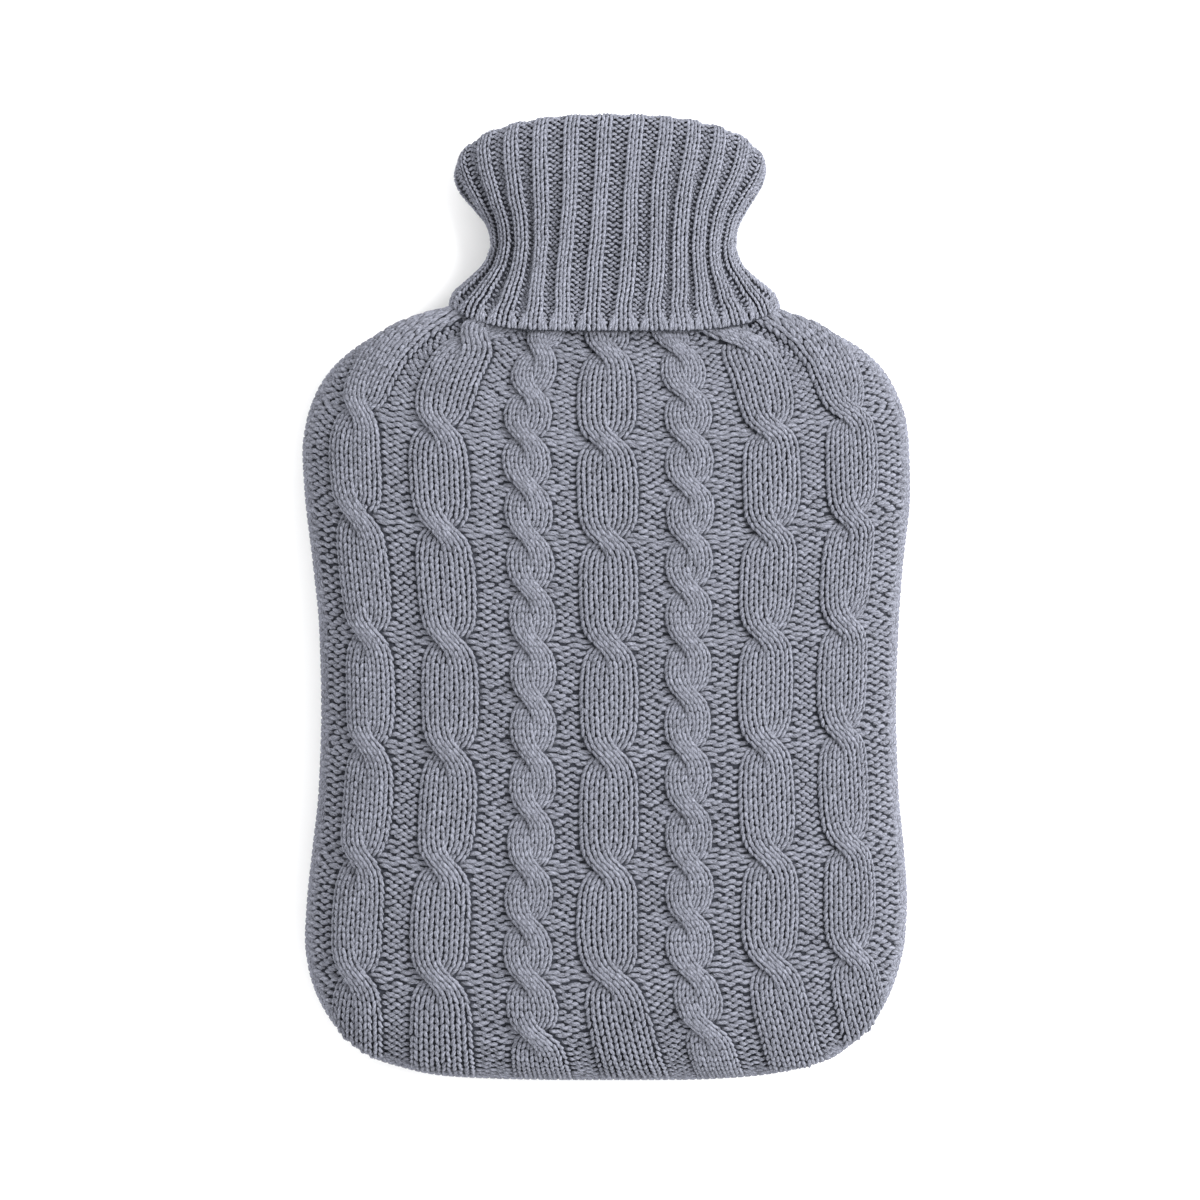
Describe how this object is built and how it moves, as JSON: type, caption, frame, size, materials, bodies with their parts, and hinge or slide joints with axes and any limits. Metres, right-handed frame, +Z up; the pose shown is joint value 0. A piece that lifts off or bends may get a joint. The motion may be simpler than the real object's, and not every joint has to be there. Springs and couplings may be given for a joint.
{
  "type": "hot water bottle cover",
  "caption": "Cable-knit hot water bottle cover with a folded, ribbed roll collar, lying on its back with the shape of a filled bottle.",
  "frame": {"origin": "centre of the bounding box in X and Y, on the surface that the back rests on", "axes": "+Y from the bottom edge towards the collar, +X to the right seen from above, +Z up out of the cable-knit front"},
  "size_m": [0.2152, 0.342, 0.05],
  "materials": {
    "cable_knit": "matt knitted yarn, blue-grey",
    "plain_knit": "matt knitted yarn, blue-grey",
    "rib_knit": "matt knitted yarn, blue-grey"
  },
  "bodies": {
    "root": {"front_panel": "cable_knit", "back_panel": "plain_knit", "roll_collar": "rib_knit"}
  },
  "joints": []
}
